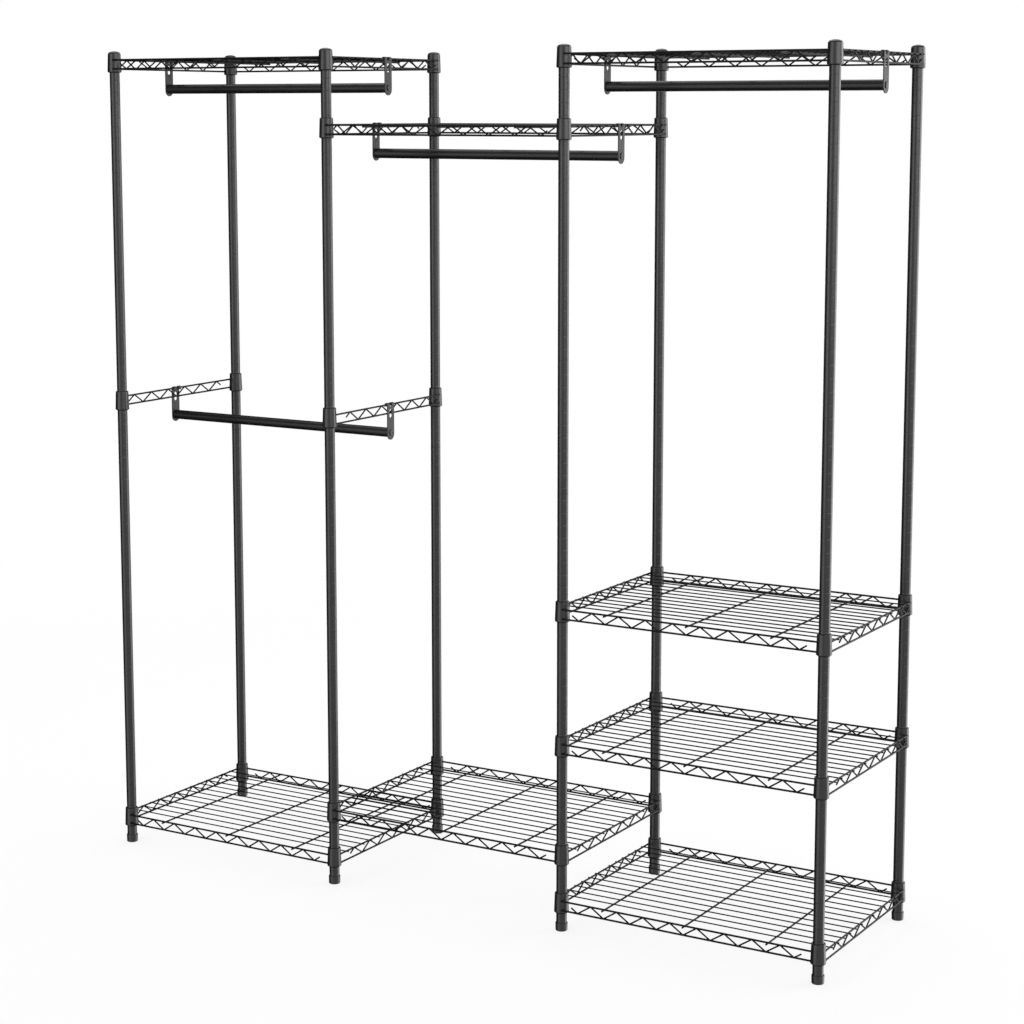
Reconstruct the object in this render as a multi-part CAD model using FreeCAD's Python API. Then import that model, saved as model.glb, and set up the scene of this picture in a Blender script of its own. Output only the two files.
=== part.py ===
# Open frame wardrobe: three bays of welded wire shelves clipped to eight grooved tube posts,
# with hanging rods hooked under the shelves. X runs along the row, Y to the back and Z up.
# The origin is on the floor, under the middle of the row.
import FreeCAD
import Part
import math
import os

from FreeCAD import Vector

# Driving sizes, in millimetres.
overall_height = 1800.0
bay_pitch = 570.0
depth_pitch = 415.0

# Posts: grooved steel tubes in two sections, screwed together end to end.
post_diameter = 22.0
post_wall = 1.2
groove_pitch = 25.4
groove_depth = 0.5
groove_width = 2.4
groove_flank = 0.6
first_groove_height = 60.0
cap_dome_height = 3.6
cap_rim_height = 1.2
cap_diameter = 26.0
cap_plug_length = 15.0

# Screw pieces inside the posts: a pressed bushing at each screwed end, and a stud across the seam.
bushing_length = 20.0
screw_diameter = 8.0
stud_length = 36.0

# Split sleeves: two plastic half shells round the post, wider at the foot, with a rib in the groove.
sleeve_height = 43.0
sleeve_top_wall = 0.9
sleeve_bottom_wall = 2.3
sleeve_rib_width = 1.0
sleeve_split_gap = 0.8

# Collars: tapered steel rings that wedge down on the sleeves and carry the wires.
collar_height = 41.0
collar_wall = 2.1
collar_chamfer = 0.6

# Welded wires of one shelf.
frame_wire_diameter = 4.0
brace_wire_diameter = 3.0
mat_wire_diameter = 2.5
rib_wire_diameter = 3.5
truss_height = 19.4
lower_wire_rise = 8.3
wire_offset = 13.0
front_wire_stop = 6.0
side_wire_stop = 3.0
brace_pitch = 60.0
mat_pitch = 30.0
mat_drop = 0.5
mat_overhang = 6.0
rib_spacing = 182.0
rib_overhang = 3.5
weld_sink = 0.4

# Hanging rods and the flat hangers that hook them over the side wires.
rod_diameter = 21.0
rod_wall = 1.2
rod_drop = 62.0
rod_plug_length = 16.0
hanger_width = 26.0
hanger_thickness = 2.0
hanger_end_reach = 16.0
hanger_lip = 4.0
hanger_notch_width = 8.0
hanger_slot_width = 10.0
hanger_slot_length = 20.0
rod_screw_diameter = 6.0
rod_screw_length = 14.0
rod_screw_head_diameter = 13.0
rod_screw_head_height = 3.0

# Levelling feet: a plastic cup on a steel screw.
foot_diameter = 25.5
foot_height = 17.0
foot_base = 5.0
foot_chamfer = 1.0
foot_travel = 5.0
foot_screw_length = 34.0
foot_socket_depth = 2.5

# Clearances: between fitted pieces of one body, and between pieces that move apart.
fit = 0.05
hook_clearance = 0.3

# Counts, and the place of each level in groove steps above the first groove. A sleeve's taper is drawn
# in short runs, which keep its thin wall true when it is faceted.
bay_count = 3
sleeve_taper_runs = 6
front_brace_corners = 17
side_brace_corners = 12
mat_count = 13
seam_step = 33
shelf_steps = {
    "left_bottom_shelf": (0, 0),
    "middle_bottom_shelf": (1, 4),
    "middle_top_shelf": (1, 62),
    "right_bottom_shelf": (2, 0),
    "right_lower_shelf": (2, 13),
    "right_upper_shelf": (2, 24),
}
top_shelves = {"left_top_shelf": 0, "right_top_shelf": 2}
rail_bay = 0
rail_step = 38

# Sizes that follow from the ones above.
post_radius = post_diameter / 2
tube_bore_radius = post_radius - post_wall
post_bottom = foot_base + foot_travel + hook_clearance
post_top = overall_height - cap_dome_height
seam_height = first_groove_height + (seam_step + 0.5) * groove_pitch
top_level = post_top - sleeve_height
top_groove_height = top_level + sleeve_height / 2
upper_wire_rise = lower_wire_rise + truss_height
frame_radius = frame_wire_diameter / 2
hook_inner_radius = frame_radius + hook_clearance
hook_outer_radius = hook_inner_radius + hanger_thickness
sleeve_bore_radius = post_radius + fit
sleeve_top_radius = sleeve_bore_radius + sleeve_top_wall
sleeve_bottom_radius = sleeve_bore_radius + sleeve_bottom_wall
collar_margin = (sleeve_height - collar_height) / 2

row_axes = [(column - bay_count / 2) * bay_pitch for column in range(bay_count + 1)]
rank_axes = {"front": -depth_pitch / 2, "rear": depth_pitch / 2}
post_places = []
for rank_name, rank_y in rank_axes.items():
    for column_index, row_x in enumerate(row_axes):
        post_places.append((f"{rank_name}_post_{column_index + 1}", row_x, rank_y))

up = Vector(0, 0, 1)
along = Vector(1, 0, 0)
middle = Vector(0, 0, 0)


def turned(outline, sweep=360):
    """Turns an outline of (radius, height) points about the vertical axis."""
    points = [Vector(radius, 0, height) for radius, height in outline]
    face = Part.Face(Part.makePolygon(points + points[:1]))
    return face.revolve(middle, up, sweep)


def wire_between(start, end, diameter):
    """Makes one straight round wire from point to point."""
    run = end - start
    return Part.makeCylinder(diameter / 2, run.Length, start, run)


def level_at(step):
    """Gives the height of a sleeve's lower end when its rib sits in the groove of that step."""
    return first_groove_height + step * groove_pitch - sleeve_height / 2


def bay_centre(bay):
    """Gives the X of the middle of a bay."""
    return (row_axes[bay] + row_axes[bay + 1]) / 2


def save(name, solids):
    """Writes one node, as one solid or as a group of separate solids."""
    shape = solids[0] if len(solids) == 1 else Part.makeCompound(solids)
    shape.exportStep(os.path.join("parts", f"{name}.step"))


def groove_heights():
    """Lists the grooves of a whole post: even steps, then the end groove of the top shelf."""
    count = int((top_groove_height - first_groove_height) / groove_pitch)
    return [first_groove_height + step * groove_pitch for step in range(count)] + [top_groove_height]


def post_section(bottom, top):
    """Makes a length of tube with its ring grooves rolled into the outside."""
    outline = [(tube_bore_radius, bottom), (post_radius, bottom)]
    for height in groove_heights():
        if bottom < height < top:
            outline += [
                (post_radius, height - groove_width / 2),
                (post_radius - groove_depth, height - groove_width / 2 + groove_flank),
                (post_radius - groove_depth, height + groove_width / 2 - groove_flank),
                (post_radius, height + groove_width / 2),
            ]
    outline += [(post_radius, top), (tube_bore_radius, top)]
    return turned(outline)


def post_cap():
    """Makes the push-in cap: a low dome on a rim, over a plug, with the rim's underside at zero."""
    rim_radius = cap_diameter / 2
    plug_radius = tube_bore_radius - fit
    crown = cap_dome_height - cap_rim_height
    dome_radius = (rim_radius ** 2 + crown ** 2) / (2 * crown)
    half_angle = math.asin(rim_radius / dome_radius) / 2
    bend = Vector(
        dome_radius * math.sin(half_angle),
        0,
        cap_dome_height - dome_radius + dome_radius * math.cos(half_angle),
    )
    rim = Vector(rim_radius, 0, cap_rim_height)
    peak = Vector(0, 0, cap_dome_height)
    corners = [
        peak,
        Vector(0, 0, -cap_plug_length),
        Vector(plug_radius, 0, -cap_plug_length),
        Vector(plug_radius, 0, fit),
        Vector(rim_radius, 0, fit),
        rim,
    ]
    edges = Part.makePolygon(corners).Edges + [Part.Arc(rim, bend, peak).toShape()]
    return Part.Face(Part.Wire(edges)).revolve(middle, up, 360)


def bushing():
    """Makes the pressed bushing that a screw runs in, with its lower end at zero."""
    barrel = Part.makeCylinder(tube_bore_radius - fit, bushing_length)
    return barrel.cut(Part.makeCylinder(screw_diameter / 2 + fit, bushing_length))


def sleeve_halves():
    """Makes the two half shells of a split sleeve, with the lower end at zero."""
    rib_height = sleeve_height / 2
    taper_heights = [step * sleeve_height / sleeve_taper_runs for step in range(sleeve_taper_runs + 1)]
    taper = [(sleeve_radius(height), height) for height in taper_heights]
    outline = [(sleeve_bore_radius, 0)] + taper + [
        (sleeve_bore_radius, sleeve_height),
        (sleeve_bore_radius, rib_height + sleeve_rib_width / 2),
        (sleeve_bore_radius - groove_depth, rib_height + sleeve_rib_width / 2),
        (sleeve_bore_radius - groove_depth, rib_height - sleeve_rib_width / 2),
        (sleeve_bore_radius, rib_height - sleeve_rib_width / 2),
    ]
    split_angle = math.degrees(sleeve_split_gap / sleeve_bore_radius)
    half = turned(outline, 180 - split_angle)
    other = half.copy()
    half.rotate(middle, up, split_angle / 2)
    other.rotate(middle, up, split_angle / 2 + 180)
    return [half, other]


def sleeve_radius(height):
    """Gives a sleeve's outer radius at a height above its lower end."""
    return sleeve_bottom_radius + (sleeve_top_radius - sleeve_bottom_radius) * height / sleeve_height


def collar():
    """Makes the tapered collar of a shelf corner, placed as on a sleeve that starts at zero."""
    low = collar_margin
    high = collar_margin + collar_height
    low_radius = sleeve_radius(low) + fit
    high_radius = sleeve_radius(high) + fit
    outline = [
        (low_radius, low),
        (low_radius + collar_wall - collar_chamfer, low),
        (low_radius + collar_wall, low + collar_chamfer),
        (high_radius + collar_wall, high - collar_chamfer),
        (high_radius + collar_wall - collar_chamfer, high),
        (high_radius, high),
    ]
    return turned(outline)


def collar_space(x, y):
    """Makes the room that a collar takes up, for fitting the wires' ends to its outside."""
    outer = collar_wall + 2 * fit
    room = Part.makeCone(sleeve_radius(0) + outer, sleeve_radius(sleeve_height) + outer, sleeve_height)
    return room.translated(Vector(x, y, 0))


def truss(start, end, corner_count):
    """Makes a lower and an upper wire, with a zigzag brace that starts low and has a tail at each end."""
    run = (end - start).normalize()
    centre = (start + end) / 2
    low = up * lower_wire_rise
    high = up * upper_wire_rise
    step = run * brace_pitch / 2
    corners = []
    for index in range(-1, corner_count + 1):
        corners.append(centre + step * (index - corner_count // 2) + (high if index % 2 else low))
    corners[0] = (corners[0] + corners[1]) / 2
    corners[-1] = (corners[-1] + corners[-2]) / 2
    wires = [wire_between(start + rise, end + rise, frame_wire_diameter) for rise in (low, high)]
    for leg_start, leg_end in zip(corners, corners[1:]):
        wires.append(wire_between(leg_start, leg_end, brace_wire_diameter))
    return wires


def side_truss(x):
    """Makes the truss at the given X, from front to back. Its brace starts at the rear on the right."""
    start = Vector(x, math.copysign(depth_pitch / 2 - side_wire_stop, x), 0)
    end = Vector(x, -start.y, 0)
    return truss(start, end, side_brace_corners)


def welded(wires, post_axes):
    """Joins wires into one weldment, with their ends fitted to the collars that they meet."""
    joined = wires[0].multiFuse(wires[1:])
    return joined.cut([collar_space(x, y) for x, y in post_axes])


def shelf():
    """Makes one wire shelf about the middle of its bay: the welded wires and the four collars.

    The mat wires run on past the side wires, but for the middle one, where a hanger can hook over.
    """
    half_bay = bay_pitch / 2
    half_depth = depth_pitch / 2
    side_x = half_bay + wire_offset
    front_y = half_depth + wire_offset
    stop = half_bay - front_wire_stop
    mat_height = upper_wire_rise - mat_drop
    rib_height = mat_height - mat_wire_diameter / 2 - rib_wire_diameter / 2 + weld_sink
    wires = side_truss(-side_x) + side_truss(side_x)
    for y in (-front_y, front_y):
        wires += truss(Vector(-stop, y, 0), Vector(stop, y, 0), front_brace_corners)
    for index in range(mat_count):
        y = (index - (mat_count - 1) / 2) * mat_pitch
        reach = side_x + (mat_overhang if y else 0)
        ends = (Vector(-reach, y, mat_height), Vector(reach, y, mat_height))
        wires.append(wire_between(*ends, mat_wire_diameter))
    for x in (-rib_spacing, 0, rib_spacing):
        reach = front_y + rib_overhang
        ends = (Vector(x, -reach, rib_height), Vector(x, reach, rib_height))
        wires.append(wire_between(*ends, rib_wire_diameter))
    corners = [(x, y) for x in (-half_bay, half_bay) for y in (-half_depth, half_depth)]
    return [welded(wires, corners)] + [collar().translated(Vector(x, y, 0)) for x, y in corners]


def side_rail(side):
    """Makes a side rail on two posts at X zero, with its wires on the given side of them."""
    corners = [(0, y) for y in rank_axes.values()]
    wires = welded(side_truss(side * wire_offset), corners)
    return [wires] + [collar().translated(Vector(x, y, 0)) for x, y in corners]


def hanger():
    """Makes the flat hanger of a rod's left end, with the wire that it hooks over at the origin."""
    low = -rod_drop - hanger_end_reach
    half_width = hanger_width / 2
    outer = [Vector(-hook_outer_radius, 0, low), Vector(-hook_outer_radius, 0, 0)]
    lip = [
        Vector(hook_outer_radius, 0, 0),
        Vector(hook_outer_radius, 0, -hanger_lip),
        Vector(hook_inner_radius, 0, -hanger_lip),
        Vector(hook_inner_radius, 0, 0),
    ]
    inner = [Vector(-hook_inner_radius, 0, 0), Vector(-hook_inner_radius, 0, low), outer[0]]
    over = Part.Arc(outer[1], up * hook_outer_radius, lip[0]).toShape()
    under = Part.Arc(lip[3], up * hook_inner_radius, inner[0]).toShape()
    edges = Part.makePolygon(outer).Edges + [over] + Part.makePolygon(lip).Edges + [under]
    edges += Part.makePolygon(inner).Edges
    strip = Part.Face(Part.Wire(edges)).extrude(Vector(0, hanger_width, 0))
    strip.translate(Vector(0, -half_width, 0))

    across = Vector(-hook_outer_radius, 0, 0)
    through = along * hook_outer_radius * 2
    shoulders = [
        Vector(0, half_width, low + half_width),
        Vector(0, half_width, hook_outer_radius),
        Vector(0, -half_width, hook_outer_radius),
        Vector(0, -half_width, low + half_width),
    ]
    rounded = Part.makePolygon(shoulders).Edges
    rounded.append(Part.Arc(shoulders[3], up * low, shoulders[0]).toShape())
    plate = strip.common(Part.Face(Part.Wire(rounded)).extrude(through).translated(across))

    notch_height = hanger_lip + hook_outer_radius
    notch_corner = across + Vector(0, -hanger_notch_width / 2, -hanger_lip)
    notch = Part.makeBox(through.Length, hanger_notch_width, notch_height, notch_corner)
    slot_run = hanger_slot_length - hanger_slot_width
    slot_corner = across + Vector(0, -hanger_slot_width / 2, -truss_height - slot_run / 2)
    slot = Part.makeBox(hanger_thickness, hanger_slot_width, slot_run, slot_corner)
    slot_ends = []
    for end in (-slot_run / 2, slot_run / 2):
        place = across + up * (end - truss_height)
        slot_ends.append(Part.makeCylinder(hanger_slot_width / 2, hanger_thickness, place, along))
    hole_place = across - up * rod_drop
    hole = Part.makeCylinder(rod_screw_diameter / 2 + fit, hanger_thickness, hole_place, along)
    return plate.cut([notch, slot, hole] + slot_ends)


def rod_tube(length):
    """Makes the rod's tube along X, about the origin."""
    start = Vector(-length / 2, 0, 0)
    tube = Part.makeCylinder(rod_diameter / 2, length, start, along)
    return tube.cut(Part.makeCylinder(rod_diameter / 2 - rod_wall, length, start, along))


def rod_plug(length):
    """Makes the plug in a rod's left end, bored for the screw."""
    start = Vector(-length / 2, 0, 0)
    plug = Part.makeCylinder(rod_diameter / 2 - rod_wall - fit, rod_plug_length, start, along)
    return plug.cut(Part.makeCylinder(rod_screw_diameter / 2 + fit, rod_plug_length, start, along))


def rod_screw():
    """Makes a rod screw pointing along X, with the underside of its head at the origin."""
    head_radius = rod_screw_head_diameter / 2
    head_start = Vector(-rod_screw_head_height, 0, 0)
    head = Part.makeCylinder(head_radius, rod_screw_head_height, head_start, along)
    shank = Part.makeCylinder(rod_screw_diameter / 2, rod_screw_length, middle, along)
    return head.fuse(shank).removeSplitter()


def save_rod(name, bay, level):
    """Writes one rod with its end plugs, and its hangers and screws, in place under a shelf."""
    wire_x = bay_pitch / 2 + wire_offset
    length = 2 * (wire_x + hook_inner_radius - fit)
    place = Vector(bay_centre(bay), 0, level + upper_wire_rise)
    rod_place = place - up * rod_drop
    plug = rod_plug(length)
    left_hanger = hanger().translated(Vector(-wire_x, 0, 0))
    screw = rod_screw().translated(Vector(-wire_x - hook_outer_radius - fit, 0, 0))
    mirrored = [piece.mirror(middle, along) for piece in (plug, left_hanger, screw)]
    rod = [rod_tube(length), plug, mirrored[0]]
    save(f"{name}_rod", [piece.translated(rod_place) for piece in rod])
    save(f"{name}_rod_hangers", [piece.translated(place) for piece in (left_hanger, mirrored[1])])
    save(f"{name}_rod_screws", [piece.translated(rod_place) for piece in (screw, mirrored[2])])


def foot_cup():
    """Makes the cup of a levelling foot, round the post's end and standing on the floor."""
    radius = foot_diameter / 2
    cup_radius = post_radius + hook_clearance
    socket_radius = screw_diameter / 2 + fit
    socket_floor = foot_base - foot_socket_depth
    outline = [
        (0, 0),
        (radius - foot_chamfer, 0),
        (radius, foot_chamfer),
        (radius, foot_height),
        (cup_radius, foot_height),
        (cup_radius, foot_base),
        (socket_radius, foot_base),
        (socket_radius, socket_floor),
        (0, socket_floor),
    ]
    return turned(outline)


def foot_screw():
    """Makes the screw of a levelling foot, from the cup's socket up into the post's bushing."""
    start = foot_base - foot_socket_depth + fit
    return Part.makeCylinder(screw_diameter / 2, foot_screw_length, Vector(0, 0, start))


os.makedirs("parts", exist_ok=True)

# Posts, and the pieces inside their ends.
lower_section = post_section(post_bottom, seam_height)
upper_section = post_section(seam_height, post_top)
bushings = []
studs = []
caps = []
for post_name, post_x, post_y in post_places:
    ground = Vector(post_x, post_y, 0)
    save(f"{post_name}_lower", [lower_section.translated(ground)])
    save(f"{post_name}_upper", [upper_section.translated(ground)])
    for bushing_bottom in (post_bottom, seam_height - bushing_length, seam_height):
        bushings.append(bushing().translated(ground + up * bushing_bottom))
    stud_place = ground + up * (seam_height - stud_length / 2)
    studs.append(Part.makeCylinder(screw_diameter / 2, stud_length, stud_place))
    caps.append(post_cap().translated(ground + up * post_top))
save("post_bushings", bushings)
save("post_joint_studs", studs)
save("post_caps", caps)

# Shelves and side rails, each level with the sleeves that hold it.
shelf_pieces = shelf()
shelf_levels = {name: (bay, level_at(step)) for name, (bay, step) in shelf_steps.items()}
shelf_levels |= {name: (bay, top_level) for name, bay in top_shelves.items()}
sleeve_places = []
for shelf_name, (bay, level) in shelf_levels.items():
    shelf_place = Vector(bay_centre(bay), 0, level)
    save(shelf_name, [piece.translated(shelf_place) for piece in shelf_pieces])
    for post_x in row_axes[bay:bay + 2]:
        sleeve_places += [Vector(post_x, y, level) for y in rank_axes.values()]

rail_level = level_at(rail_step)
for rail_name, rail_side, post_x in (
    ("left_outer_side_rail", -1, row_axes[rail_bay]),
    ("left_inner_side_rail", 1, row_axes[rail_bay + 1]),
):
    rail_place = Vector(post_x, 0, rail_level)
    save(rail_name, [piece.translated(rail_place) for piece in side_rail(rail_side)])
    sleeve_places += [Vector(post_x, y, rail_level) for y in rank_axes.values()]

halves = sleeve_halves()
save("split_sleeves", [half.translated(place) for place in sleeve_places for half in halves])

# Hanging rods.
save_rod("left_top", rail_bay, top_level)
save_rod("left_mid", rail_bay, rail_level)
save_rod("middle", *shelf_levels["middle_top_shelf"])
save_rod("right", *shelf_levels["right_top_shelf"])

# Levelling feet.
for post_name, post_x, post_y in post_places:
    foot_name = post_name.replace("post", "foot")
    ground = Vector(post_x, post_y, 0)
    save(f"{foot_name}_cup", [foot_cup().translated(ground)])
    save(f"{foot_name}_screw", [foot_screw().translated(ground)])
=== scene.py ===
# %% [markdown]
# An open frame wardrobe
#
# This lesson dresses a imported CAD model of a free-standing wardrobe: eight grooved tube posts, wire shelves that
# clip to them, and hanging rods hooked under the shelves. The CAD model gives every size and place. Blender adds
# what a solid model leaves out: bent brace wires, weld beads, rolled edges, screw recesses and finishes.

# %% Load the frame
import math

import bmesh
import bpy
from mathutils import Matrix, Vector


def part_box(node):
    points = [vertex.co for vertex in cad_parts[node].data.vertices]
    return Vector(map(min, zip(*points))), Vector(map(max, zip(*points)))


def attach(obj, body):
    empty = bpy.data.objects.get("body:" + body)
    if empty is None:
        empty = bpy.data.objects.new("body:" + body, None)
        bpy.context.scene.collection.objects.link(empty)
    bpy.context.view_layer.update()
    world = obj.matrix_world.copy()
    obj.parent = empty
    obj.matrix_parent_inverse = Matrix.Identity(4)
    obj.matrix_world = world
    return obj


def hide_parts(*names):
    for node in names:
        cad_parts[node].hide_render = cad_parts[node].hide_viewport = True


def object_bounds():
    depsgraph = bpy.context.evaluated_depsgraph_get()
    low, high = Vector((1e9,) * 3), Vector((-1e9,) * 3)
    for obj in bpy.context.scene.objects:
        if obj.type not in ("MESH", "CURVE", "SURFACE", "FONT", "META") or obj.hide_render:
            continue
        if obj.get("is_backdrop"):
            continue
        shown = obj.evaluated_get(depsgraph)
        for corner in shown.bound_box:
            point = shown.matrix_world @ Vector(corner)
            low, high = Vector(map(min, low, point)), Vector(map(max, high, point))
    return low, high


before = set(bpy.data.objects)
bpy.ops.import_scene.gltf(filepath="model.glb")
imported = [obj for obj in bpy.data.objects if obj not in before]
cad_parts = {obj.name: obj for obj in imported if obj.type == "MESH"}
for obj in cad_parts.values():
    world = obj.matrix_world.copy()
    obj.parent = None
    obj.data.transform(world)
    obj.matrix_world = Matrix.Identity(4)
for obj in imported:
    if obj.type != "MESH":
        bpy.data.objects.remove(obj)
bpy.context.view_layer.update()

# %% [markdown]
# Every piece here is one of two kinds: a turned shape, such as a tube, collar or cap, or a length of wire. A turned
# shape is an outline of radii and heights that the spin operator carries round an axis. A wire is a disc that is
# pushed along straight runs and spun round its bends. A disc that is pushed leaves itself behind, which closes the
# wire at its start but is a stray face at a bend, so those are deleted. Further helpers turn the finished bmesh into
# an object. Smooth shading with sharp edges kept by angle makes a few sides look round. It would also make a long
# straight wall look swollen next to a rounded edge, so such a run gets a holding point near each of its ends.

# %% Helpers that shape and place pieces
SHARP_ANGLE = math.radians(50)
MERGE_DISTANCE = 1e-7
HOLD = 0.0004
LONG_RUN = 4 * HOLD
UP = Vector((0, 0, 1))
ALONG = Vector((1, 0, 0))
ORIGIN = Vector((0, 0, 0))


def held(outline, closed):
    """Adds a holding point near each end of every long run of an outline."""
    corners = outline + outline[:1] if closed else outline
    points = []
    for before, after in zip(corners, corners[1:]):
        points.append(before)
        run = math.dist(before, after)
        if run > LONG_RUN:
            for share in (HOLD / run, 1 - HOLD / run):
                points.append(tuple(a + (b - a) * share for a, b in zip(before, after)))
    return points if closed else points + corners[-1:]


def turn(bm, outline, place, sides, axis=UP, closed=True):
    """Spins an outline of (radius, height) points about an axis through a place."""
    tilt = UP.rotation_difference(axis).to_matrix()
    points = [place + tilt @ Vector((radius, 0, height)) for radius, height in held(outline, closed)]
    verts = [bm.verts.new(point) for point in points]
    pairs = list(zip(verts, verts[1:]))
    if closed:
        pairs.append((verts[-1], verts[0]))
    edges = [bm.edges.new(pair) for pair in pairs]
    bmesh.ops.spin(bm, geom=verts + edges, cent=place, axis=axis, angle=math.tau, steps=sides, use_merge=True)


def disc(bm, place, direction, radius, sides):
    """Makes the round end that a wire starts from."""
    facing = Matrix.Translation(place) @ UP.rotation_difference(direction).to_matrix().to_4x4()
    ring = bmesh.ops.create_circle(bm, cap_ends=True, radius=radius, segments=sides, matrix=facing)
    return ring["verts"][0].link_faces[0]


def push(bm, face, step):
    """Extrudes the end of a wire by a step and returns its new end."""
    grown = bmesh.ops.extrude_face_region(bm, geom=[face])["geom"]
    bmesh.ops.translate(bm, vec=step, verts=[part for part in grown if isinstance(part, bmesh.types.BMVert)])
    return next(part for part in grown if isinstance(part, bmesh.types.BMFace))


def bent_wire(bm, points, radius, bend_radius, sides, bend_steps):
    """Makes one wire along a list of corners, with an arc of the bend radius at each inner corner."""
    runs = [(after - before).normalized() for before, after in zip(points, points[1:])]
    start = points[0]
    inside = []
    end_face = disc(bm, start, runs[0], radius, sides)
    for corner, arriving, leaving in zip(points[1:], runs, runs[1:]):
        turn_angle = arriving.angle(leaving)
        trim = bend_radius * math.tan(turn_angle / 2)
        arc_start = corner - arriving * trim
        end_face = push(bm, end_face, arc_start - start)
        axis = arriving.cross(leaving).normalized()
        centre = arc_start + axis.cross(arriving) * bend_radius
        arc = bmesh.ops.spin(bm, geom=[end_face], cent=centre, axis=axis, angle=turn_angle, steps=bend_steps)
        inside.append(end_face)
        end_face = next(part for part in arc["geom_last"] if isinstance(part, bmesh.types.BMFace))
        inside.append(end_face)
        start = corner + leaving * trim
    push(bm, end_face, points[-1] - start)
    bmesh.ops.delete(bm, geom=inside, context="FACES_ONLY")


def straight_wire(bm, start, end, radius, sides):
    """Makes one straight wire from point to point."""
    run = end - start
    place = Matrix.Translation((start + end) / 2) @ UP.rotation_difference(run).to_matrix().to_4x4()
    bmesh.ops.create_cone(
        bm, cap_ends=True, segments=sides, radius1=radius, radius2=radius, depth=run.length, matrix=place
    )


def mesh_from(name, bm):
    """Closes seams, turns all faces outwards and gives a smooth-shaded mesh."""
    bmesh.ops.remove_doubles(bm, verts=bm.verts, dist=MERGE_DISTANCE)
    bmesh.ops.recalc_face_normals(bm, faces=bm.faces)
    mesh = bpy.data.meshes.new(name)
    bm.to_mesh(mesh)
    bm.free()
    mesh.shade_smooth()
    mesh.set_sharp_from_angle(angle=SHARP_ANGLE)
    return mesh


def add_piece(name, mesh, finishes, slot, body, *nodes):
    """Puts a finished mesh in the scene with its materials, on the body it rides on, and hides the solids it stands
    for.
    """
    piece = bpy.data.objects.new(name, mesh)
    bpy.context.scene.collection.objects.link(piece)
    for finish in finishes:
        mesh.materials.append(finish)
    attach(piece, body)
    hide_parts(*nodes)


def moved(mesh, name, place):
    """Gives a copy of a mesh with its place moved inside the mesh."""
    copy = mesh.copy()
    copy.name = name
    copy.transform(Matrix.Translation(place))
    return copy


def middle(node):
    """Gives the middle of a node's box."""
    low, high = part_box(node)
    return (Vector(low) + Vector(high)) / 2


print("helpers ready")

# %% [markdown]
# The steel is powder coated: a charcoal film about a tenth of a millimetre thick, satin, with a fine orange-peel
# ripple and a slight mottle in its gloss. A noise texture in object space drives the ripple as a bump, and a second,
# broader one shifts colour and roughness a little, so that no face is one flat tone. The same recipe with other
# numbers gives the smoother coat of the rods, the fine grain of the moulded plastic and the plating of the screws.

# %% Finishes
MOTTLE_DETAIL = 4
RIPPLE_DETAIL = 2
RIPPLE_STRENGTH = 0.5
DARK_SHARE = 0.3
LIGHT_SHARE = 0.7


def coated(name, dark, light, roughness, ripple_size, ripple_height, mottle_size, specular, metallic=0):
    """Makes a thin coloured coat with a rippled surface and a slightly uneven gloss."""
    material = bpy.data.materials.new(name)
    material.use_nodes = True
    nodes = material.node_tree.nodes
    links = material.node_tree.links
    shader = nodes["Principled BSDF"]
    shader.inputs["Specular IOR Level"].default_value = specular
    shader.inputs["Metallic"].default_value = metallic
    place = nodes.new("ShaderNodeTexCoord")

    mottle = nodes.new("ShaderNodeTexNoise")
    mottle.inputs["Scale"].default_value = 1 / mottle_size
    mottle.inputs["Detail"].default_value = MOTTLE_DETAIL
    links.new(place.outputs["Object"], mottle.inputs["Vector"])
    tone = nodes.new("ShaderNodeValToRGB")
    tone.color_ramp.elements[0].position = DARK_SHARE
    tone.color_ramp.elements[0].color = (*dark, 1)
    tone.color_ramp.elements[1].position = LIGHT_SHARE
    tone.color_ramp.elements[1].color = (*light, 1)
    links.new(mottle.outputs["Fac"], tone.inputs["Fac"])
    links.new(tone.outputs["Color"], shader.inputs["Base Color"])

    gloss = nodes.new("ShaderNodeMapRange")
    gloss.inputs["To Min"].default_value = roughness[0]
    gloss.inputs["To Max"].default_value = roughness[1]
    links.new(mottle.outputs["Fac"], gloss.inputs["Value"])
    links.new(gloss.outputs["Result"], shader.inputs["Roughness"])

    ripple = nodes.new("ShaderNodeTexNoise")
    ripple.inputs["Scale"].default_value = 1 / ripple_size
    ripple.inputs["Detail"].default_value = RIPPLE_DETAIL
    links.new(place.outputs["Object"], ripple.inputs["Vector"])
    bump = nodes.new("ShaderNodeBump")
    bump.inputs["Strength"].default_value = RIPPLE_STRENGTH
    bump.inputs["Distance"].default_value = ripple_height
    links.new(ripple.outputs["Fac"], bump.inputs["Height"])
    links.new(bump.outputs["Normal"], shader.inputs["Normal"])
    return material


post_coat = coated(
    "post_powder_coat",
    dark=(0.007, 0.0072, 0.0076),
    light=(0.011, 0.0113, 0.0118),
    roughness=(0.27, 0.35),
    ripple_size=0.0016,
    ripple_height=0.00006,
    mottle_size=0.03,
    specular=0.45,
)
wire_coat = coated(
    "wire_powder_coat",
    dark=(0.0028, 0.0028, 0.003),
    light=(0.005, 0.005, 0.0053),
    roughness=(0.3, 0.4),
    ripple_size=0.0012,
    ripple_height=0.00007,
    mottle_size=0.02,
    specular=0.09,
)
rod_coat = coated(
    "rod_smooth_coat",
    dark=(0.005, 0.005, 0.0053),
    light=(0.008, 0.008, 0.0083),
    roughness=(0.2, 0.28),
    ripple_size=0.002,
    ripple_height=0.00004,
    mottle_size=0.05,
    specular=0.22,
)
strap_coat = coated(
    "strap_powder_coat",
    dark=(0.014, 0.0142, 0.0146),
    light=(0.019, 0.0193, 0.0198),
    roughness=(0.5, 0.62),
    ripple_size=0.001,
    ripple_height=0.00012,
    mottle_size=0.015,
    specular=0.36,
)
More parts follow.
